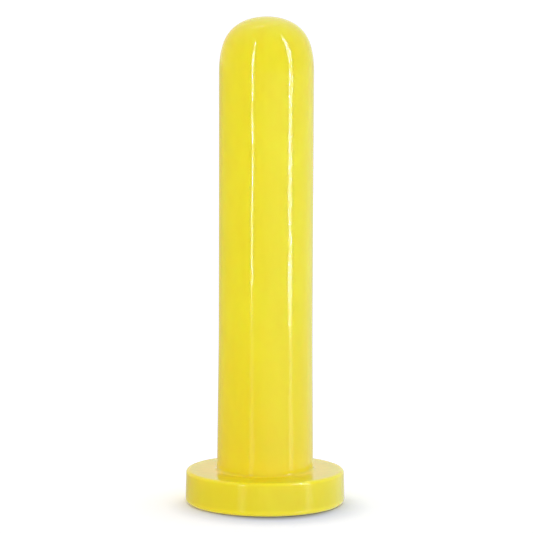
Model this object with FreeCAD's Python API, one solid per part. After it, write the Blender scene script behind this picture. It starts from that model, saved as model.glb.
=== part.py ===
import FreeCAD, Part
import math
import os

from FreeCAD import Vector

# Flexible delineator post, free standing, +Z up, millimetres.
# Origin: centre of the underside of the foot, on the ground plane.
# One hollow moulding (domed shaft running into a thick round foot) is kept as
# three nodes so that it can bend: foot_moulding, flex_root and shaft_moulding.
# They meet face to face at z = FLEX_Z0 and z = FLEX_Z1, an equal distance
# below and above the bending axis at z = PIVOT_Z.

# ---------------------------------------------------------------- moulding
HEIGHT = 750.0          # overall
FOOT_R = 122.9          # foot radius just above its bottom edge
FOOT_TOP_R = 122.0      # foot radius at its top edge (slight draft)
FOOT_T = 51.4           # foot thickness
FOOT_BOTTOM_FILLET = 7.0
FOOT_TOP_FILLET = 4.7
ROOT_FILLET = 4.5       # between foot top and shaft
ROOT_R = 74.4           # shaft radius at the foot's top face
FLARE_TOP_Z = 254.0     # the root flares out below this height
SHAFT_R = 72.2          # shaft radius at FLARE_TOP_Z
DOME_H = 84.6           # height of the domed top
DOME_R = 72.5           # shaft radius where the dome starts
DOME_B1, DOME_B2, DOME_C = 2.024, 4.185, 0.505   # dome profile
WALL = 9.0              # wall of the shaft
CROWN = 11.0            # wall at the top of the dome
PIVOT_Z = 140.0         # bending axis, along X
FLEX_Z0 = 56.0          # foot_moulding below, flex_root above
FLEX_Z1 = 2 * PIVOT_Z - FLEX_Z0   # flex_root below, shaft_moulding above

# ------------------------------------------------- recess under the foot
RECESS_R = 104.0
PAD_T = 3.0             # ground pad
PLATE_T = 8.0           # base plate
PLATE_R = 103.8
PAD_R = 103.6
RECESS_D = PAD_T + PLATE_T
RECESS_LEAD = 1.5       # lead-in chamfer at the recess mouth

# ------------------------------------------------- armature in the foot
ARM_RI, ARM_RO = 74.0, 104.0
ARM_Z0, ARM_T = 25.0, 6.0
BOSS_R = 9.0
BOSS_COUNT = 6
BOSS_PCD_R = 89.0
KEY_HOLE_R = 7.0        # moulding material keys through these holes

# ------------------------------------------------- plate screws, M8 countersunk
SCREW_R = 4.0
SCREW_TAP_R = 4.02      # threads drawn plain, at their major radius
SCREW_HEAD_R = 8.0
SCREW_HEAD_H = 4.4
SCREW_LEN = 24.0
SCREW_CLEAR_R = 4.5
HEX_AF = 5.0
HEX_DEPTH = 3.0

# ------------------------------------------------- ground anchor bush, M20
BUSH_BORE_R = 8.65      # minor radius of an M20 thread
BUSH_LEAD = 1.6
BUSH_SPIGOT_R = 19.8
BUSH_HUB_R = 17.0
BUSH_FLANGE_R = 38.0
BUSH_FLANGE_T = 8.0
BUSH_TOP_Z = 54.0
PLATE_BORE_R = 20.0
PAD_BORE_R = 24.0

# ------------------------------------------------- bush screws, M8 cap head
CAP_COUNT = 3
CAP_PCD_R = 28.0
CAP_HEAD_R = 6.5
CAP_HEAD_H = 8.0
WASHER_R = 6.4
WASHER_T = 2.0
CAP_AF = 6.0
CAP_SOCKET = 4.0

DRAIN_R = 5.0           # breather and drain holes through plate and pad
DRAIN_PCD_R = 54.0
DRAIN_COUNT = 3

Z = Vector(0, 0, 1)
O = Vector(0, 0, 0)


def face(edges):
    return Part.Face(Part.Wire(edges))


def poly(points):
    vs = [Vector(r, 0, z) for r, z in points]
    return [Part.LineSegment(a, b).toShape() for a, b in zip(vs, vs[1:] + vs[:1])]


def turn(edges):
    """Solid of revolution about Z from edges in the XZ plane (x = radius)."""
    s = face(edges).revolve(O, Z, 360)
    return s if s.ShapeType == "Solid" else Part.Solid(s)


def cyl(r, z0, z1, x=0.0, y=0.0):
    return Part.makeCylinder(r, z1 - z0, Vector(x, y, z0), Z)


def cone(r0, r1, z0, z1, x=0.0, y=0.0):
    return Part.makeCone(r0, r1, z1 - z0, Vector(x, y, z0), Z)


def ring_points(radius, count, start_deg=0.0):
    return [
        (
            radius * math.cos(math.radians(start_deg + 360.0 * i / count)),
            radius * math.sin(math.radians(start_deg + 360.0 * i / count)),
        )
        for i in range(count)
    ]


def hexagon(af, z0, z1, x=0.0, y=0.0):
    r = af / math.sqrt(3.0)
    pts = [
        Vector(x + r * math.cos(math.radians(60 * i)), y + r * math.sin(math.radians(60 * i)), z0)
        for i in range(7)
    ]
    return Part.Face(Part.makePolygon(pts)).extrude(Vector(0, 0, z1 - z0))


def one(shape):
    """The single solid of a boolean's result."""
    solids = shape.Solids
    assert len(solids) == 1, len(solids)
    return solids[0]


def save(shape, node):
    assert shape.isValid(), node
    shape.exportStep("parts/%s.step" % node)
    print(
        "%-16s solids %d volume %.1f cm3 z %.2f to %.2f"
        % (node, len(shape.Solids), shape.Volume / 1000.0, shape.BoundBox.ZMin, shape.BoundBox.ZMax)
    )


def shaft_r(z):
    """Outer radius of the shaft below the dome."""
    if z <= FLARE_TOP_Z:
        return SHAFT_R + (ROOT_R - SHAFT_R) * (FLARE_TOP_Z - z) / (FLARE_TOP_Z - FOOT_T)
    return SHAFT_R + (DOME_R - SHAFT_R) * (z - FLARE_TOP_Z) / (HEIGHT - DOME_H - FLARE_TOP_Z)


def dome(radius, height, top_z):
    """Profile edge from the crown on the axis down to the shaft."""
    pts = []
    n = 22
    for i in range(n + 1):
        # even steps in angle keep the points even along the curve
        t = math.pi / 2 * i / n
        u = math.cos(t)
        r = radius * math.sqrt(max(0.0, 1 - (1 - DOME_C) * u**DOME_B1 - DOME_C * u**DOME_B2))
        pts.append(Vector(r, 0, top_z - height * (1 - u)))
    c = Part.BSplineCurve()
    c.interpolate(Points=pts, InitialTangent=Vector(1, 0, 0), FinalTangent=Vector(0, 0, -1))
    return c.toShape()


os.makedirs("parts", exist_ok=True)

# ------------------------------------------------------------ shaft_moulding
z_spring = HEIGHT - DOME_H
outer = dome(DOME_R, DOME_H, HEIGHT)
inner = dome(DOME_R - WALL, DOME_H - CROWN, HEIGHT - CROWN)


def line(r0, z0, r1, z1):
    return Part.LineSegment(Vector(r0, 0, z0), Vector(r1, 0, z1)).toShape()


shaft = turn(
    [
        outer,
        line(DOME_R, z_spring, SHAFT_R, FLARE_TOP_Z),
        line(SHAFT_R, FLARE_TOP_Z, shaft_r(FLEX_Z1), FLEX_Z1),
        line(shaft_r(FLEX_Z1), FLEX_Z1, shaft_r(FLEX_Z1) - WALL, FLEX_Z1),
        line(shaft_r(FLEX_Z1) - WALL, FLEX_Z1, SHAFT_R - WALL, FLARE_TOP_Z),
        line(SHAFT_R - WALL, FLARE_TOP_Z, DOME_R - WALL, z_spring),
        inner,
        line(0, HEIGHT - CROWN, 0, HEIGHT),
    ]
)
save(shaft, "shaft_moulding")

# ----------------------------------------------------------------- flex_root
flex = turn(
    poly(
        [
            (shaft_r(FLEX_Z0), FLEX_Z0),
            (shaft_r(FLEX_Z1), FLEX_Z1),
            (shaft_r(FLEX_Z1) - WALL, FLEX_Z1),
            (shaft_r(FLEX_Z0) - WALL, FLEX_Z0),
        ]
    )
)
save(flex, "flex_root")

# ------------------------------------------------------------- armature_ring
# Steel ring moulded into the foot, with six bosses reaching down to the base
# plate, each with a blind M8 thread, and keying holes between the bosses.
bosses = ring_points(BOSS_PCD_R, BOSS_COUNT)
arm = cyl(ARM_RO, ARM_Z0, ARM_Z0 + ARM_T).cut(cyl(ARM_RI, ARM_Z0 - 1, ARM_Z0 + ARM_T + 1))
arm = arm.fuse([cyl(BOSS_R, RECESS_D, ARM_Z0 + ARM_T + 4.0, x, y) for x, y in bosses])
arm = arm.cut(
    Part.makeCompound(
        [
            cyl(KEY_HOLE_R, ARM_Z0 - 1, ARM_Z0 + ARM_T + 1, x, y)
            for x, y in ring_points(BOSS_PCD_R, BOSS_COUNT, 30.0)
        ]
    )
)
arm_solid = one(arm)             # what the moulding flows around
arm = one(
    arm_solid.cut(
        Part.makeCompound(
            [cyl(SCREW_TAP_R, RECESS_D - 1, ARM_Z0 + ARM_T, x, y) for x, y in bosses]
        )
    )
)
save(arm, "armature_ring")

# ------------------------------------------------------------- foot_moulding
foot = turn(
    poly(
        [
            (0, 0),
            (FOOT_R, 0),
            (FOOT_R, FOOT_BOTTOM_FILLET),
            (FOOT_TOP_R, FOOT_T),
            (ROOT_R, FOOT_T),
            (shaft_r(FLEX_Z0), FLEX_Z0),
            (0, FLEX_Z0),
        ]
    )
)


def rim(shape, radius, z):
    """The circular edge of a turned solid at one radius and height."""
    found = [
        e
        for e in shape.Edges
        if e.Curve.TypeId == "Part::GeomCircle"
        and abs(e.Curve.Radius - radius) < 1e-3
        and abs(e.BoundBox.ZMin - z) < 1e-3
        and abs(e.BoundBox.ZMax - z) < 1e-3
    ]
    assert len(found) == 1, (radius, z, len(found))
    return found[0]


foot = foot.makeFillet(FOOT_BOTTOM_FILLET - 0.05, [rim(foot, FOOT_R, 0)])
foot = foot.makeFillet(FOOT_TOP_FILLET, [rim(foot, FOOT_TOP_R, FOOT_T)])
foot = foot.makeFillet(ROOT_FILLET, [rim(foot, ROOT_R, FOOT_T)])
bore = turn(
    poly(
        [
            (0, RECESS_D - 1),
            (ROOT_R - WALL + 0.6, RECESS_D - 1),
            (ROOT_R - WALL + 0.1, FOOT_T),
            (shaft_r(FLEX_Z0) - WALL, FLEX_Z0),
            (shaft_r(FLEX_Z0) - WALL, FLEX_Z0 + 1),
            (0, FLEX_Z0 + 1),
        ]
    )
)
recess = cyl(RECESS_R, -1, RECESS_D).fuse(
    cone(RECESS_R + RECESS_LEAD + 1, RECESS_R, -1, RECESS_LEAD)
)
foot = one(foot.cut([bore, recess, arm_solid]))
save(foot, "foot_moulding")

# ---------------------------------------------------------------- base_plate
plate = cyl(PLATE_R, PAD_T, RECESS_D)
plate = plate.makeChamfer(0.8, [rim(plate, PLATE_R, PAD_T)])
cuts = [cyl(PLATE_BORE_R, 0, 20)]
for x, y in bosses:
    cuts.append(cyl(SCREW_CLEAR_R, 0, 20, x, y))
    cuts.append(cone(SCREW_HEAD_R + 0.3, SCREW_CLEAR_R - 0.3, PAD_T, PAD_T + SCREW_HEAD_H + 0.1, x, y))
caps = ring_points(CAP_PCD_R, CAP_COUNT, 90.0)
for x, y in caps:
    cuts.append(cyl(SCREW_TAP_R, 0, 20, x, y))
drains = ring_points(DRAIN_PCD_R, DRAIN_COUNT, 30.0)
for x, y in drains:
    cuts.append(cyl(DRAIN_R, 0, 20, x, y))
plate = one(plate.cut(cuts))
save(plate, "base_plate")

# ---------------------------------------------------------------- ground_pad
# Ribbed rubber pad under the plate, flush with the foot's underside.
pad = cyl(PAD_R, 0, PAD_T)
cuts = [cyl(PAD_BORE_R, -1, PAD_T + 1)]
for x, y in drains:
    cuts.append(cyl(DRAIN_R + 1.0, -1, PAD_T + 1, x, y))
for x, y in bosses:
    cuts.append(cyl(SCREW_HEAD_R + 0.8, -1, PAD_T + 1, x, y))
for r in (36.0, 44.0, 64.0, 72.0):
    cuts.append(cyl(r + 1.5, -1, 1.2).cut(cyl(r - 1.5, -2, 2.0)))
pad = one(pad.cut(cuts))
save(pad, "ground_pad")

# -------------------------------------------------------------- plate_screws
screws = []
for x, y in bosses:
    s = cone(SCREW_HEAD_R, SCREW_R, PAD_T, PAD_T + SCREW_HEAD_H, x, y)
    s = s.fuse(cyl(SCREW_R, PAD_T + SCREW_HEAD_H - 0.5, PAD_T + SCREW_LEN, x, y))
    s = s.removeSplitter().cut(hexagon(HEX_AF, PAD_T - 1, PAD_T + HEX_DEPTH, x, y))
    screws.append(one(s))
save(Part.makeCompound(screws), "plate_screws")

# --------------------------------------------------------------- anchor_bush
bush = turn(
    poly(
        [
            (BUSH_BORE_R + BUSH_LEAD, PAD_T),
            (BUSH_SPIGOT_R - 0.6, PAD_T),
            (BUSH_SPIGOT_R, PAD_T + 0.6),
            (BUSH_SPIGOT_R, RECESS_D),
            (BUSH_FLANGE_R, RECESS_D),
            (BUSH_FLANGE_R, RECESS_D + BUSH_FLANGE_T - 1.0),
            (BUSH_FLANGE_R - 1.0, RECESS_D + BUSH_FLANGE_T),
            (BUSH_HUB_R, RECESS_D + BUSH_FLANGE_T),
            (BUSH_HUB_R, BUSH_TOP_Z - 1.5),
            (BUSH_HUB_R - 1.5, BUSH_TOP_Z),
            (BUSH_BORE_R + 1.0, BUSH_TOP_Z),
            (BUSH_BORE_R, BUSH_TOP_Z - 1.0),
            (BUSH_BORE_R, PAD_T + BUSH_LEAD),
        ]
    )
)
bush = one(bush.cut([cyl(SCREW_CLEAR_R, 0, 40, x, y) for x, y in caps]))
save(bush, "anchor_bush")

# -------------------------------------------------- bush_screws, bush_washers
z_seat = RECESS_D + BUSH_FLANGE_T
heads, washers = [], []
for x, y in caps:
    w = cyl(WASHER_R, z_seat, z_seat + WASHER_T, x, y).cut(
        cyl(SCREW_R + 0.2, z_seat - 1, z_seat + WASHER_T + 1, x, y)
    )
    washers.append(one(w))
    s = cyl(SCREW_R, PAD_T + 0.5, z_seat + WASHER_T + 1, x, y)
    head = cyl(CAP_HEAD_R, z_seat + WASHER_T, z_seat + WASHER_T + CAP_HEAD_H, x, y)
    head = head.makeChamfer(
        0.8,
        [
            e
            for e in head.Edges
            if e.Curve.TypeId == "Part::GeomCircle"
            and abs(e.BoundBox.ZMin - (z_seat + WASHER_T + CAP_HEAD_H)) < 1e-3
        ],
    )
    s = s.fuse(head).removeSplitter()
    s = s.cut(
        hexagon(CAP_AF, z_seat + WASHER_T + CAP_HEAD_H - CAP_SOCKET, z_seat + WASHER_T + CAP_HEAD_H + 1, x, y)
    )
    heads.append(one(s))
save(Part.makeCompound(washers), "bush_washers")
save(Part.makeCompound(heads), "bush_screws")
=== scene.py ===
import math

import bpy
import numpy as np
from mathutils import Matrix, Vector


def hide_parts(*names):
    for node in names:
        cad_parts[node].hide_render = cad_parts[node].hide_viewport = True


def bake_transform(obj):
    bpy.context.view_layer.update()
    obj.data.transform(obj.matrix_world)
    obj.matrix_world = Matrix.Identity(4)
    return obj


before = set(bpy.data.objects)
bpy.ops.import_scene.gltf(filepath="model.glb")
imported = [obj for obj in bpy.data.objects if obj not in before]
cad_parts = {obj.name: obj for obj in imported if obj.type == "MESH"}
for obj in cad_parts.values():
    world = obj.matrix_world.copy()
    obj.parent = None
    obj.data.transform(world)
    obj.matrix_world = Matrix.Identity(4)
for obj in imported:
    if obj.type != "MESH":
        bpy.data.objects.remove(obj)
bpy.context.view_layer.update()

TAU = 2 * math.pi
MM = 0.001

# ---------------------------------------------------------------------------
# sizes of the moulding, millimetres, as the CAD model has them
# ---------------------------------------------------------------------------
HEIGHT = 750.0
FOOT_R, FOOT_TOP_R, FOOT_T = 122.9, 122.0, 51.4
BOTTOM_FILLET, TOP_FILLET, ROOT_FILLET = 6.95, 4.7, 4.5
ROOT_R, FLARE_TOP_Z, SHAFT_R = 74.4, 254.0, 72.2
DOME_H, DOME_R = 84.6, 72.5
DOME_B1, DOME_B2, DOME_C = 2.024, 4.185, 0.505
WALL, CROWN = 9.0, 11.0
RECESS_R, RECESS_D = 104.0, 11.0

# ---------------------------------------------------------------------------
# the room: brightness in front, behind and overhead, and its tints
# ---------------------------------------------------------------------------
FRONT, BACK, TOP = 0.60, 0.96, 1.32
LEFT_TINT = (1.100, 0.965, 0.850)
RIGHT_TINT = (1.010, 1.060, 1.160)
TOP_TINT = (0.920, 1.025, 1.060)
LOW_SIDE, LOW_BACK = (0.68, 1.12), 0.68
FILL = 0.398
FLOOR_COLOR = (1.129, 1.100, 1.160)


# ---------------------------------------------------------------------------
# small helpers
# ---------------------------------------------------------------------------
def smooth(t):
    t = np.clip(t, 0.0, 1.0)
    return t * t * (3 - 2 * t)


def arc(cx, cz, r, a0, a1, n):
    """Points of an arc in the (radius, height) plane, both ends included."""
    a = np.radians(np.linspace(a0, a1, n))
    return [(cx + r * math.cos(t), cz + r * math.sin(t)) for t in a]


def dome_points(radius, height, top, n):
    """From the shaft up to the crown, the crown itself left out."""
    out = []
    for i in range(n):
        t = math.pi / 2 * (1 - i / n)
        u = math.cos(t)
        r = radius * math.sqrt(max(0.0, 1 - (1 - DOME_C) * u**DOME_B1 - DOME_C * u**DOME_B2))
        out.append((r, top - height * (1 - u)))
    return out


def shaft_r(z):
    """Outer radius below the dome, with the flare's top end rounded off."""
    up = max(0.0, z - FLARE_TOP_Z)
    straight = SHAFT_R + (DOME_R - SHAFT_R) * up / (HEIGHT - DOME_H - FLARE_TOP_Z)
    slope = (ROOT_R - SHAFT_R) / (FLARE_TOP_Z - FOOT_T)
    soft = 18.0
    return straight + slope * soft * math.log1p(math.exp((FLARE_TOP_Z - z) / soft))


def span(a, b, step):
    n = max(1, int(round(abs(b - a) / step)))
    return [a + (b - a) * i / n for i in range(n)]


# ---------------------------------------------------------------------------
# node-tree helpers
# ---------------------------------------------------------------------------
class Tree:
    def __init__(self, name):
        self.mat = bpy.data.materials.new(name)
        self.mat.use_nodes = True
        self.t = self.mat.node_tree
        self.t.nodes.clear()
        self.out = self.t.nodes.new("ShaderNodeOutputMaterial")
        self.bsdf = self.t.nodes.new("ShaderNodeBsdfPrincipled")
        self.link(self.bsdf.outputs["BSDF"], self.out.inputs["Surface"])
        self.coord = self.t.nodes.new("ShaderNodeTexCoord").outputs["Object"]

    def link(self, a, b):
        self.t.links.new(a, b)

    def set(self, **values):
        for k, v in values.items():
            self.bsdf.inputs[k.replace("_", " ")].default_value = v

    def mapped(self, scale=(1, 1, 1), loc=(0, 0, 0), rot=(0, 0, 0)):
        m = self.t.nodes.new("ShaderNodeMapping")
        m.inputs["Scale"].default_value = scale
        m.inputs["Location"].default_value = loc
        m.inputs["Rotation"].default_value = rot
        self.link(self.coord, m.inputs["Vector"])
        return m.outputs["Vector"]

    def noise(self, vec, scale, detail=2.0, rough=0.5, distort=0.0):
        n = self.t.nodes.new("ShaderNodeTexNoise")
        n.inputs["Scale"].default_value = scale
        n.inputs["Detail"].default_value = detail
        n.inputs["Roughness"].default_value = rough
        n.inputs["Distortion"].default_value = distort
        self.link(vec, n.inputs["Vector"])
        return n.outputs["Fac"]

    def voronoi(self, vec, scale, feature="F1", out="Distance"):
        n = self.t.nodes.new("ShaderNodeTexVoronoi")
        n.feature = feature
        n.inputs["Scale"].default_value = scale
        self.link(vec, n.inputs["Vector"])
        return n.outputs[out]

    def math(self, op, a, b=0.5, c=None, clamp=False):
        n = self.t.nodes.new("ShaderNodeMath")
        n.operation = op
        n.use_clamp = clamp
        for i, x in enumerate((a, b, c)):
            if x is None:
                continue
            if isinstance(x, (int, float)):
                n.inputs[i].default_value = x
            else:
                self.link(x, n.inputs[i])
        return n.outputs[0]

    def remap(self, x, a, b, c, d, kind="LINEAR"):
        n = self.t.nodes.new("ShaderNodeMapRange")
        n.interpolation_type = kind
        n.inputs["From Min"].default_value = a
        n.inputs["From Max"].default_value = b
        n.inputs["To Min"].default_value = c
        n.inputs["To Max"].default_value = d
        self.link(x, n.inputs["Value"])
        return n.outputs["Result"]

    def mix(self, fac, a, b, kind="MIX"):
        n = self.t.nodes.new("ShaderNodeMix")
        n.data_type = "RGBA"
        n.blend_type = kind
        n.clamp_factor = True
        if isinstance(fac, (int, float)):
            n.inputs["Factor"].default_value = fac
        else:
            self.link(fac, n.inputs["Factor"])
        for name, x in (("A", a), ("B", b)):
            s = [i for i in n.inputs if i.name == name and i.type == "RGBA"][0]
            if isinstance(x, tuple):
                s.default_value = (*x, 1.0) if len(x) == 3 else x
            else:
                self.link(x, s)
        return [o for o in n.outputs if o.type == "RGBA"][0]

    def bump(self, height, strength=1.0, distance=1.0, normal=None):
        n = self.t.nodes.new("ShaderNodeBump")
        n.inputs["Strength"].default_value = strength
        n.inputs["Distance"].default_value = distance
        self.link(height, n.inputs["Height"])
        if normal is not None:
            self.link(normal, n.inputs["Normal"])
        return n.outputs["Normal"]


# ---------------------------------------------------------------------------
# materials
# ---------------------------------------------------------------------------
def yellow_elastomer():
    """Cloudy, translucent soft moulding with a wet-looking skin."""
    m = Tree("yellow_elastomer")
    cloud = m.noise(m.mapped((1, 1, 0.45)), 14.0, 3.0, 0.55, 0.6)
    cloud = m.remap(cloud, 0.30, 0.70, 0.0, 1.0)
    col = m.mix(cloud, (0.755, 0.640, 0.0112), (0.785, 0.690, 0.0152))
    # painted shade: low down round the root the shaft's colour is made deeper and more orange, where less light
    # falls from above
    sep = m.t.nodes.new("ShaderNodeSeparateXYZ")
    m.link(m.coord, sep.inputs[0])
    low = m.remap(sep.outputs["Z"], 0.05, 0.34, 1.0, 0.0, "SMOOTHSTEP")
    radial = m.math("SQRT", m.math("ADD", m.math("POWER", sep.outputs["X"], 2.0), m.math("POWER", sep.outputs["Y"], 2.0)))
    inner = m.remap(radial, 0.086, 0.114, 1.0, 0.0, "SMOOTHSTEP")
    low = m.math("MULTIPLY", low, inner)
    col = m.mix(m.math("MULTIPLY", low, 0.62), col, (0.770, 0.588, 0.0112))
    # painted light: the root of the shaft is made brighter and warmer, standing in for light scattered through the
    # moulding there
    glow = m.math("MULTIPLY", m.remap(sep.outputs["Z"], 0.050, 0.105, 1.0, 0.0, "SMOOTHSTEP"), inner)
    col = m.mix(m.math("MULTIPLY", glow, 0.75), col, (0.875, 0.680, 0.0085))
    # painted shade: the foot's colour is darkened a touch and made slightly bluer than the shaft's
    on_foot = m.math("MULTIPLY", m.remap(sep.outputs["Z"], 0.0515, 0.0535, 1.0, 0.0), m.remap(radial, 0.078, 0.088, 0.0, 1.0))
    col = m.mix(on_foot, col, (0.925, 0.935, 1.15), "MULTIPLY")
    # painted light: the bottom edge of the foot is made paler, standing in for the light that comes through it
    rim = m.remap(sep.outputs["Z"], 0.0025, 0.0125, 1.0, 0.0, "SMOOTHSTEP")
    col = m.mix(m.math("MULTIPLY", rim, 0.45), col, (0.930, 0.800, 0.0260))
    # fine bubbles and specks of pigment just under the surface
    specks = m.remap(m.voronoi(m.mapped(), 520.0), 0.0, 0.16, 1.0, 0.0)
    rare = m.remap(m.noise(m.mapped(), 60.0, 1.0), 0.56, 0.66, 0.0, 1.0)
    col = m.mix(m.math("MULTIPLY", m.math("MULTIPLY", specks, rare), 0.25), col, (0.86, 0.78, 0.10))
    m.link(col, m.bsdf.inputs["Base Color"])

    rough = m.remap(m.noise(m.mapped((1, 1, 0.5)), 55.0, 3.0, 0.6), 0.3, 0.7, 0.040, 0.075)
    # the shaft is polished, the foot a little less so
    rough = m.math("MULTIPLY_ADD", on_foot, 0.08, rough)
    m.link(rough, m.bsdf.inputs["Roughness"])

    # long shallow unevenness left by the mould, then finer beading on it
    flow = m.noise(m.mapped((1, 1, 0.22)), 82.0, 1.0, 0.45)
    bead = m.noise(m.mapped((1, 1, 0.85)), 190.0, 1.0, 0.5)
    micro = m.noise(m.mapped(), 1500.0, 2.0, 0.5)
    h = m.math("MULTIPLY", flow, 0.00027)
    h = m.math("MULTIPLY_ADD", bead, 0.000080, h)
    h = m.math("MULTIPLY_ADD", micro, 0.0000008, h)
    m.link(m.bump(h), m.bsdf.inputs["Normal"])

    m.set(
        Subsurface_Weight=1.0,
        Subsurface_Radius=(1.0, 0.72, 0.12),
        Subsurface_Scale=0.016,
        Subsurface_Anisotropy=0.0,
        IOR=1.43,
    )
    return m.mat


def galvanised_steel():
    m = Tree("galvanised_steel")
    cell = m.voronoi(m.mapped(), 95.0, out="Color")
    bw = m.t.nodes.new("ShaderNodeRGBToBW")
    m.link(cell, bw.inputs[0])
    spangle = bw.outputs[0]
    wide = m.noise(m.mapped(), 18.0, 4.0, 0.6)
    col = m.mix(spangle, (0.33, 0.345, 0.355), (0.56, 0.575, 0.585))
    white_rust = m.remap(wide, 0.52, 0.78, 0.0, 0.55)
    col = m.mix(white_rust, col, (0.66, 0.66, 0.645))
    m.link(col, m.bsdf.inputs["Base Color"])
    r = m.math("MULTIPLY_ADD", spangle, 0.20, 0.30)
    r = m.math("MULTIPLY_ADD", white_rust, 0.30, r, clamp=True)
    m.link(r, m.bsdf.inputs["Roughness"])
    h = m.math("MULTIPLY", m.noise(m.mapped(), 420.0, 3.0, 0.6), 0.00006)
    h = m.math("MULTIPLY_ADD", spangle, 0.00002, h)
    m.link(m.bump(h), m.bsdf.inputs["Normal"])
    m.set(Metallic=1.0)
    return m.mat


def zinc_plated_steel():
    m = Tree("zinc_plated_steel")
    tint = m.noise(m.mapped(), 70.0, 3.0, 0.55, 0.8)
    col = m.mix(m.remap(tint, 0.35, 0.65, 0.0, 1.0), (0.60, 0.61, 0.63), (0.66, 0.655, 0.60))
    stain = m.remap(m.noise(m.mapped(), 300.0, 4.0, 0.65), 0.58, 0.78, 0.0, 0.5)
    col = m.mix(stain, col, (0.40, 0.39, 0.36))
    m.link(col, m.bsdf.inputs["Base Color"])
    r = m.math("MULTIPLY_ADD", tint, 0.22, 0.16)
    r = m.math("MULTIPLY_ADD", stain, 0.35, r, clamp=True)
    m.link(r, m.bsdf.inputs["Roughness"])
    # faint turning marks
    wave = m.t.nodes.new("ShaderNodeTexWave")
    wave.wave_type = "BANDS"
    wave.bands_direction = "Z"
    wave.inputs["Scale"].default_value = 320.0
    wave.inputs["Distortion"].default_value = 1.2
    wave.inputs["Detail"].default_value = 2.0
    m.link(m.mapped(), wave.inputs["Vector"])
    h = m.math("MULTIPLY", wave.outputs["Fac"], 0.000012)
    h = m.math("MULTIPLY_ADD", m.noise(m.mapped(), 900.0, 3.0), 0.000012, h)
    m.link(m.bump(h), m.bsdf.inputs["Normal"])
    m.set(Metallic=1.0)
    return m.mat


def black_rubber():
    m = Tree("black_rubber")
    dust = m.remap(m.noise(m.mapped(), 45.0, 5.0, 0.65), 0.42, 0.75, 0.0, 1.0)
    col = m.mix(dust, (0.016, 0.016, 0.017), (0.058, 0.056, 0.052))
    m.link(col, m.bsdf.inputs["Base Color"])
    m.link(m.math("MULTIPLY_ADD", dust, 0.18, 0.62), m.bsdf.inputs["Roughness"])
    grain = m.noise(m.mapped(), 900.0, 4.0, 0.7)
    h = m.math("MULTIPLY", grain, 0.00010)
    h = m.math("MULTIPLY_ADD", m.voronoi(m.mapped(), 380.0), 0.00008, h)
    m.link(m.bump(h), m.bsdf.inputs["Normal"])
    return m.mat


def studio_floor():
    """Seamless white studio floor, lit to white, with a greyer contact shadow painted round the foot."""
    mat = bpy.data.materials.new("studio_floor")
    mat.use_nodes = True
    t = mat.node_tree
    t.nodes.clear()
    out = t.nodes.new("ShaderNodeOutputMaterial")
    d = t.nodes.new("ShaderNodeBsdfDiffuse")
    co = t.nodes.new("ShaderNodeTexCoord")
    # painted shadow: its centre sits a little right of and in front of the post's axis
    off = t.nodes.new("ShaderNodeVectorMath")
    off.operation = "SUBTRACT"
    off.inputs[1].default_value = (0.008, -0.041, -0.0002)
    length = t.nodes.new("ShaderNodeVectorMath")
    length.operation = "LENGTH"
    span01 = t.nodes.new("ShaderNodeMapRange")
    span01.inputs["From Min"].default_value = 0.075
    span01.inputs["From Max"].default_value = 0.175
    ramp = t.nodes.new("ShaderNodeValToRGB")
    ramp.color_ramp.interpolation = "LINEAR"
    # painted shadow colours by distance from that centre: dark grey at the foot, tinted blue against the yellow
    # bounce, white from 0.1675 m
    painted_shadow_stops = (
        (0.0780, 0.26, 0.27, 0.335),
        (0.0867, 0.36, 0.38, 0.47),
        (0.0940, 0.49, 0.515, 0.64),
        (0.1015, 0.63, 0.66, 0.80),
        (0.1088, 0.72, 0.745, 0.86),
        (0.1160, 0.775, 0.795, 0.885),
        (0.1235, 0.82, 0.84, 0.91),
        (0.1380, 0.89, 0.90, 0.955),
        (0.1530, 0.97, 0.98, 1.0),
        (0.1675, 1.0, 1.0, 1.0),
    )
    e = ramp.color_ramp.elements
    e[0].position = (painted_shadow_stops[0][0] - 0.075) / 0.10
    e[0].color = (*painted_shadow_stops[0][1:], 1.0)
    e[1].position = (painted_shadow_stops[-1][0] - 0.075) / 0.10
    e[1].color = (*painted_shadow_stops[-1][1:], 1.0)
    for stop in painted_shadow_stops[1:-1]:
        k = e.new((stop[0] - 0.075) / 0.10)
        k.color = (*stop[1:], 1.0)
    tint = t.nodes.new("ShaderNodeMix")
    tint.data_type = "RGBA"
    tint.blend_type = "MULTIPLY"
    tint.clamp_result = False
    tint.inputs["Factor"].default_value = 1.0
    a_in, b_in = [i for i in tint.inputs if i.type == "RGBA"]
    b_in.default_value = (*FLOOR_COLOR, 1.0)
    t.links.new(co.outputs["Object"], off.inputs[0])
    t.links.new(off.outputs["Vector"], length.inputs[0])
    t.links.new(length.outputs["Value"], span01.inputs["Value"])
    t.links.new(span01.outputs["Result"], ramp.inputs["Fac"])
    t.links.new(ramp.outputs["Color"], a_in)
    # the painted shadow is shown to the camera only; the light that the floor throws back on the foot uses a plain
    # colour, as the foot itself already shades it
    seen = t.nodes.new("ShaderNodeMix")
    seen.data_type = "RGBA"
    seen_a, seen_b = [i for i in seen.inputs if i.type == "RGBA"]
    seen_a.default_value = (1.0, 0.985, 1.0, 1.0)
    path = t.nodes.new("ShaderNodeLightPath")
    t.links.new(path.outputs["Is Camera Ray"], seen.inputs["Factor"])
    t.links.new([o for o in tint.outputs if o.type == "RGBA"][0], seen_b)
    t.links.new([o for o in seen.outputs if o.type == "RGBA"][0], d.inputs["Color"])
    t.links.new(d.outputs[0], out.inputs["Surface"])
    return mat


YELLOW = yellow_elastomer()
GALV = galvanised_steel()
ZINC = zinc_plated_steel()
RUBBER = black_rubber()

for node, mat in (
    ("armature_ring", GALV),
    ("base_plate", GALV),
    ("ground_pad", RUBBER),
    ("plate_screws", ZINC),
    ("anchor_bush", ZINC),
    ("bush_washers", ZINC),
    ("bush_screws", ZINC),
):
    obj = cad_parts[node]
    for s in range(len(obj.material_slots)):
        obj.material_slots[s].link = "DATA"
        obj.material_slots[s].material = mat


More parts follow.
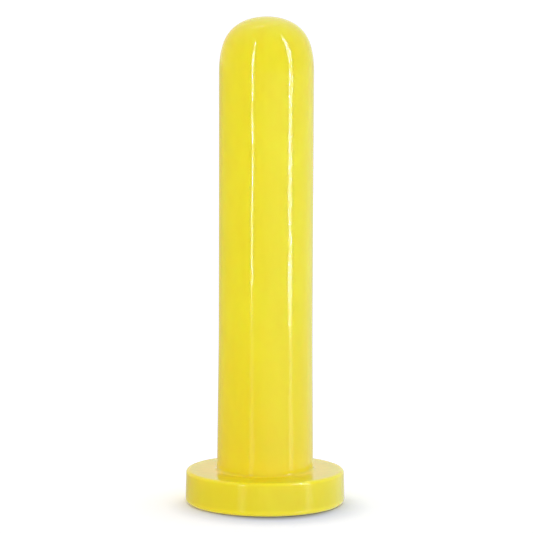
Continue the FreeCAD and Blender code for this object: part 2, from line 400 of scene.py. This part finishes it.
# ---------------------------------------------------------------------------
# the moulding, one closed skin: outside, underside, recess and hollow
# ---------------------------------------------------------------------------
def moulding_profile():
    """(radius, height, is_outside) rows from the crown down the outside, round the underside and up the hollow."""
    out = []
    # outside, top down
    top = dome_points(DOME_R, DOME_H, HEIGHT, 44)[::-1]
    out += [(r, z) for r, z in top]
    z_spring = HEIGHT - DOME_H
    out = [p for p in out if p[1] > z_spring + 0.01]
    root_top = FOOT_T + ROOT_FILLET
    out += [(shaft_r(z), z) for z in span(z_spring, root_top, 3.0)]
    rr = shaft_r(root_top)
    out += [(r, z) for r, z in arc(rr + ROOT_FILLET, root_top, ROOT_FILLET, 180, 270, 9)]
    edge = FOOT_TOP_R - TOP_FILLET
    out += [(r, FOOT_T) for r in span(rr + ROOT_FILLET, edge, 3.0)[1:]]
    out += arc(edge, FOOT_T - TOP_FILLET, TOP_FILLET, 90, 1, 10)
    z0, z1 = FOOT_T - TOP_FILLET, BOTTOM_FILLET
    out += [
        (FOOT_TOP_R + (FOOT_R - FOOT_TOP_R) * (z0 - z) / (z0 - z1), z) for z in span(z0, z1, 2.5)
    ]
    out += arc(FOOT_R - BOTTOM_FILLET, BOTTOM_FILLET, BOTTOM_FILLET, 0, -90, 13)
    n_out = len(out)
    # underside rim, lead-in, recess wall and ceiling
    lead = RECESS_R + 1.5
    out += [(r, 0.0) for r in span(FOOT_R - BOTTOM_FILLET, lead, 3.0)[1:]]
    out += [(lead, 0.0), (RECESS_R, 1.5)]
    out += [(RECESS_R, z) for z in span(1.5, RECESS_D, 3.0)[1:]]
    bore = ROOT_R - WALL + 0.55
    out += [(r, RECESS_D) for r in span(RECESS_R, bore, 6.0)]
    # the hollow, bottom up
    out += [(bore - 0.5 * (z - RECESS_D) / (FOOT_T - RECESS_D), z) for z in span(RECESS_D, FOOT_T, 6.0)]
    out += [(shaft_r(z) - WALL, z) for z in span(FOOT_T, z_spring, 4.0)]
    out += dome_points(DOME_R - WALL, DOME_H - CROWN, HEIGHT - CROWN, 26)
    return out, n_out


def make_skin():
    prof, n_out = moulding_profile()
    seg = 192
    r = np.array([p[0] for p in prof])
    z = np.array([p[1] for p in prof])
    th = np.arange(seg) * TAU / seg
    R, T = np.meshgrid(r, th, indexing="ij")
    Z = np.repeat(z[:, None], seg, axis=1)
    # gentle unevenness of the outer face, as a soft casting has; it dies out
    # at the crown and towards the underside so that the foot stays flat
    outside = np.zeros(len(prof))
    outside[:n_out] = 1.0
    fade = outside * smooth((z - 8.0) / 20.0) * smooth(r / 40.0)
    wob = (
        0.10 * np.sin(2 * T + 0.9 + Z / 210.0)
        + 0.06 * np.sin(3 * T - 1.7 - Z / 130.0)
        + 0.030 * np.sin(5 * T + 0.4 + Z / 90.0) * np.sin(Z / 61.0 + 0.8)
        + 0.016 * np.sin(11 * T + 2.1 + Z / 47.0) * np.sin(Z / 23.0 + 1.9)
    )
    R = R + wob * fade[:, None] * 0.5
    X, Y = R * np.cos(T), R * np.sin(T)
    grid = np.stack([X, Y, Z], axis=-1).reshape(-1, 3) * MM
    rows = len(prof)
    crown = len(grid)
    under = crown + 1
    verts = np.vstack([grid, [[0, 0, HEIGHT * MM], [0, 0, (HEIGHT - CROWN) * MM]]])
    faces = []
    for i in range(rows - 1):
        a, b = i * seg, (i + 1) * seg
        for j in range(seg):
            k = (j + 1) % seg
            faces.append((a + j, b + j, b + k, a + k))
    for j in range(seg):
        k = (j + 1) % seg
        faces.append((crown, j, k))
        last = (rows - 1) * seg
        faces.append((under, last + k, last + j))
    me = bpy.data.meshes.new("moulding_skin")
    me.from_pydata(verts.tolist(), [], faces)
    me.validate()
    me.update()
    # rows of quads share an angle, so only the two real corners stay sharp
    me.polygons.foreach_set("use_smooth", [True] * len(me.polygons))
    me.set_sharp_from_angle(angle=math.radians(40))
    uv = me.uv_layers.new(name="UVMap")
    length = np.concatenate([[0], np.cumsum(np.hypot(np.diff(r), np.diff(z)))])
    length = length / length[-1]
    uvs = np.zeros((len(me.loops), 2), np.float32)
    vi = np.zeros(len(me.loops), np.int32)
    me.loops.foreach_get("vertex_index", vi)
    row = np.minimum(vi // seg, rows - 1)
    col = vi % seg
    u = col / seg
    v = length[row]
    u = np.where(vi >= crown, 0.5, u)
    v = np.where(vi == crown, 0.0, np.where(vi == under, 1.0, v))
    uvs[:, 0], uvs[:, 1] = u, 1 - v
    starts = np.zeros(len(me.polygons), np.int32)
    me.polygons.foreach_get("loop_start", starts)
    totals = np.zeros(len(me.polygons), np.int32)
    me.polygons.foreach_get("loop_total", totals)
    for s, t in zip(starts, totals):  # the faces that close the round keep their u above the seam
        part = uvs[s : s + t, 0]
        if part.max() - part.min() > 0.5 and t == 4:
            part[part < 0.5] += 1.0
    uv.data.foreach_set("uv", uvs.ravel())
    obj = bpy.data.objects.new("moulding_skin", me)
    bpy.context.scene.collection.objects.link(obj)
    me.materials.append(YELLOW)
    return obj


skin = make_skin()
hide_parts("foot_moulding", "flex_root", "shaft_moulding")
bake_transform(skin)

# ---------------------------------------------------------------------------
# floor, light, camera
# ---------------------------------------------------------------------------
floor_me = bpy.data.meshes.new("floor")
n = 24
half = 9.0
xs = np.linspace(-half, half, n + 1)
fv = [(x, y, -0.0002) for y in xs for x in xs]
ff = [
    (j * (n + 1) + i, j * (n + 1) + i + 1, (j + 1) * (n + 1) + i + 1, (j + 1) * (n + 1) + i)
    for j in range(n)
    for i in range(n)
]
floor_me.from_pydata(fv, [], ff)
floor = bpy.data.objects.new("floor", floor_me)
floor_me.materials.append(studio_floor())
bpy.context.scene.collection.objects.link(floor)
floor.visible_glossy = False     # the gloss shows the room's lower half instead, see LOW below


def around(azimuth, distance, z):
    """Point on a cylinder round the post. Azimuth 0 is the front, positive to the right."""
    a = math.radians(azimuth)
    return Vector((distance * math.sin(a), -distance * math.cos(a), z))


def bar(name, p0, p1, width, radiance, toward=None, color=(1, 1, 1)):
    """Long soft light from p0 to p1, facing the post. It only shows as a gloss line: the room lights the object."""
    mid = (p0 + p1) / 2
    long = (p1 - p0).normalized()
    target = Vector((0, 0, mid.z)) if toward is None else Vector(toward)
    face = target - mid
    face = (face - long * face.dot(long)).normalized()
    side = long.cross(-face)
    rot = Matrix((side, long, -face)).transposed()
    data = bpy.data.lights.new(name, "AREA")
    data.shape = "RECTANGLE"
    data.size = width
    data.size_y = (p1 - p0).length
    data.color = color
    data.energy = radiance * math.pi * data.size * data.size_y
    obj = bpy.data.objects.new(name, data)
    obj.location = mid
    obj.rotation_euler = rot.to_euler()
    obj.visible_camera = False
    obj.visible_diffuse = False
    obj.visible_transmission = False
    obj.visible_volume_scatter = False
    bpy.context.scene.collection.objects.link(obj)
    return obj


D = 1.6
# thin strip, front left, leaning a little outwards and weaker at its lower end
bar("strip_left", around(-32.8, D, 0.155), around(-36.8, D, 2.10), 0.034, 52.0)
bar("strip_left_end", around(-32.4, D, 0.080), around(-32.8, D, 0.155), 0.034, 8.0)
# pair of tubes, right
bar("tube_right_a", around(57.2, D, 0.135), around(55.3, D, 3.05), 0.026, 60.0)
bar("tube_right_a_end", around(57.2, D, 0.060), around(57.2, D, 0.135), 0.026, 24.0)
bar("tube_right_b", around(63.0, D, 0.135), around(60.8, D, 3.05), 0.026, 60.0)
bar("tube_right_b_end", around(63.0, D, 0.060), around(63.0, D, 0.135), 0.026, 24.0)
# their soft images in the sheen of the table
bar("sheen_left", around(-31.6, D, -0.09), around(-31.6, D, 0.13), 0.26, 0.75)
bar("sheen_left_foot", around(-31.3, D, -0.95), around(-31.6, D, -0.09), 0.28, 0.95)
bar("sheen_right", around(62.6, D, -0.09), around(61.6, D, 0.13), 0.28, 1.55)
bar("sheen_right_foot", around(65.0, D, -0.95), around(63.6, D, -0.09), 0.32, 1.35)
bar("sheen_left_low", around(-35.0, D, -0.95), around(-33.0, D, -0.42), 0.20, 7.0)
bar("sheen_right_low", around(50.0, D, -0.95), around(52.0, D, -0.40), 0.32, 7.0)
# short bar overhead, behind
bar("bar_top", Vector((-0.75, 0.53, 2.34)), Vector((-0.09, 0.44, 2.34)), 0.09, 3.2, toward=(0, 0, 0.735))

# broad frontal fill: it lights the object only, and has no gloss image of its own
lamp_receivers = bpy.data.collections.new("lamp_receivers")
lamp_receivers.objects.link(skin)
for hardware in ("armature_ring", "base_plate", "ground_pad", "plate_screws", "anchor_bush", "bush_washers", "bush_screws"):
    lamp_receivers.objects.link(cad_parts[hardware])


def fill(name, location, target, sx, sy, level, color=(1, 1, 1)):
    """Soft panel. level is what it adds to a white card at the target that faces it."""
    d = Vector(target) - Vector(location)
    data = bpy.data.lights.new(name, "AREA")
    data.shape = "RECTANGLE"
    data.size, data.size_y = sx, sy
    data.color = color
    data.energy = level * math.pi * math.pi * d.length_squared
    obj = bpy.data.objects.new(name, data)
    obj.location = location
    obj.rotation_euler = d.to_track_quat("-Z", "Y").to_euler()
    obj.visible_camera = False
    obj.visible_glossy = False
    bpy.context.scene.collection.objects.link(obj)
    obj.light_linking.receiver_collection = lamp_receivers
    return obj


fill("fill_front", (0.3, -3.2, 0.7), (0, 0, 0.33), 1.6, 1.6, FILL)
fill("fill_left", (-3.0, -0.9, 0.7), (0, 0, 0.33), 1.2, 1.2, 0.062, color=(1.0, 0.74, 0.35))
fill("fill_right", (3.0, -0.9, 0.7), (0, 0, 0.33), 1.2, 1.2, 0.050, color=(1.0, 0.85, 0.6))

world = bpy.data.worlds.new("studio")
bpy.context.scene.world = world
world.use_nodes = True
wt = world.node_tree
wt.nodes.clear()


def w_range(source, a, b, c, d):
    node = wt.nodes.new("ShaderNodeMapRange")
    node.interpolation_type = "SMOOTHSTEP"
    node.inputs["From Min"].default_value = a
    node.inputs["From Max"].default_value = b
    node.inputs["To Min"].default_value = c
    node.inputs["To Max"].default_value = d
    wt.links.new(source, node.inputs["Value"])
    return node.outputs["Result"]


def w_mixed(fac, a, b):
    node = wt.nodes.new("ShaderNodeMix")
    node.data_type = "RGBA"
    wt.links.new(fac, node.inputs["Factor"])
    for key, value in (("A", a), ("B", b)):
        sock = [i for i in node.inputs if i.name == key and i.type == "RGBA"][0]
        if isinstance(value, tuple):
            sock.default_value = (*value, 1.0)
        else:
            wt.links.new(value, sock)
    return [o for o in node.outputs if o.type == "RGBA"][0]


w_out = wt.nodes.new("ShaderNodeOutputWorld")
w_bg = wt.nodes.new("ShaderNodeBackground")
w_white = wt.nodes.new("ShaderNodeBackground")
w_mix = wt.nodes.new("ShaderNodeMixShader")
w_path = wt.nodes.new("ShaderNodeLightPath")
w_co = wt.nodes.new("ShaderNodeTexCoord")
w_sep = wt.nodes.new("ShaderNodeSeparateXYZ")
w_mul = wt.nodes.new("ShaderNodeMath")
w_mul.operation = "MULTIPLY"
wt.links.new(w_co.outputs["Generated"], w_sep.inputs[0])
# dim in front, bright behind and overhead
wt.links.new(w_range(w_sep.outputs["Y"], -0.75, 0.55, FRONT, BACK), w_mul.inputs[0])
wt.links.new(w_range(w_sep.outputs["Z"], 0.25, 0.95, 1.0, TOP), w_mul.inputs[1])
# below the horizon only the gloss sees the room: darker on the left and at the back
low_side = w_range(w_sep.outputs["X"], -0.75, 0.35, *LOW_SIDE)
low_back = w_range(w_sep.outputs["Y"], 0.60, 0.98, 1.0, LOW_BACK)
w_low = wt.nodes.new("ShaderNodeMath")
w_low.operation = "MULTIPLY"
wt.links.new(low_side, w_low.inputs[0])
wt.links.new(low_back, w_low.inputs[1])
w_half = wt.nodes.new("ShaderNodeMix")
w_half.data_type = "FLOAT"
wt.links.new(w_range(w_sep.outputs["Z"], -0.035, 0.0, 0.0, 1.0), w_half.inputs["Factor"])
half_a, half_b = [i for i in w_half.inputs if i.name in ("A", "B") and i.type == "VALUE"]
wt.links.new(w_low.outputs[0], half_a)
wt.links.new(w_mul.outputs[0], half_b)
wt.links.new([o for o in w_half.outputs if o.type == "VALUE"][0], w_bg.inputs["Strength"])
# a little warmer on the left, cooler on the right and overhead
w_col = w_mixed(w_range(w_sep.outputs["X"], -0.8, 0.8, 0.0, 1.0), LEFT_TINT, RIGHT_TINT)
w_col = w_mixed(w_range(w_sep.outputs["Z"], 0.30, 0.95, 0.0, 0.8), w_col, TOP_TINT)
wt.links.new(w_col, w_bg.inputs["Color"])
w_white.inputs["Color"].default_value = (1.0, 1.0, 1.0, 1.0)
w_white.inputs["Strength"].default_value = 1.05
wt.links.new(w_path.outputs["Is Camera Ray"], w_mix.inputs["Fac"])
wt.links.new(w_bg.outputs[0], w_mix.inputs[1])
wt.links.new(w_white.outputs[0], w_mix.inputs[2])
wt.links.new(w_mix.outputs[0], w_out.inputs["Surface"])

cam_data = bpy.data.cameras.new("camera")
cam_data.sensor_width = 36.0
cam_data.lens = 36.0 * 3000.0 / 533.0
cam_data.clip_start = 0.05
cam_data.clip_end = 60.0
cam = bpy.data.objects.new("camera", cam_data)
PITCH = math.radians(6.959)
DIST, AIM_Z = 4.606, 0.3668
cam.location = (0.0010, -DIST * math.cos(PITCH), AIM_Z + DIST * math.sin(PITCH))
ROLL = math.radians(0.22)     # the post stands a hair off upright in the frame
cam.rotation_euler = (math.pi / 2 - PITCH, 0, 0)
cam.rotation_euler.rotate_axis("Z", ROLL)
bpy.context.scene.collection.objects.link(cam)
bpy.context.scene.camera = cam

vs = bpy.context.scene.view_settings
vs.view_transform = "Standard"
vs.look = "None"
vs.exposure = 0.0
vs.gamma = 1.0
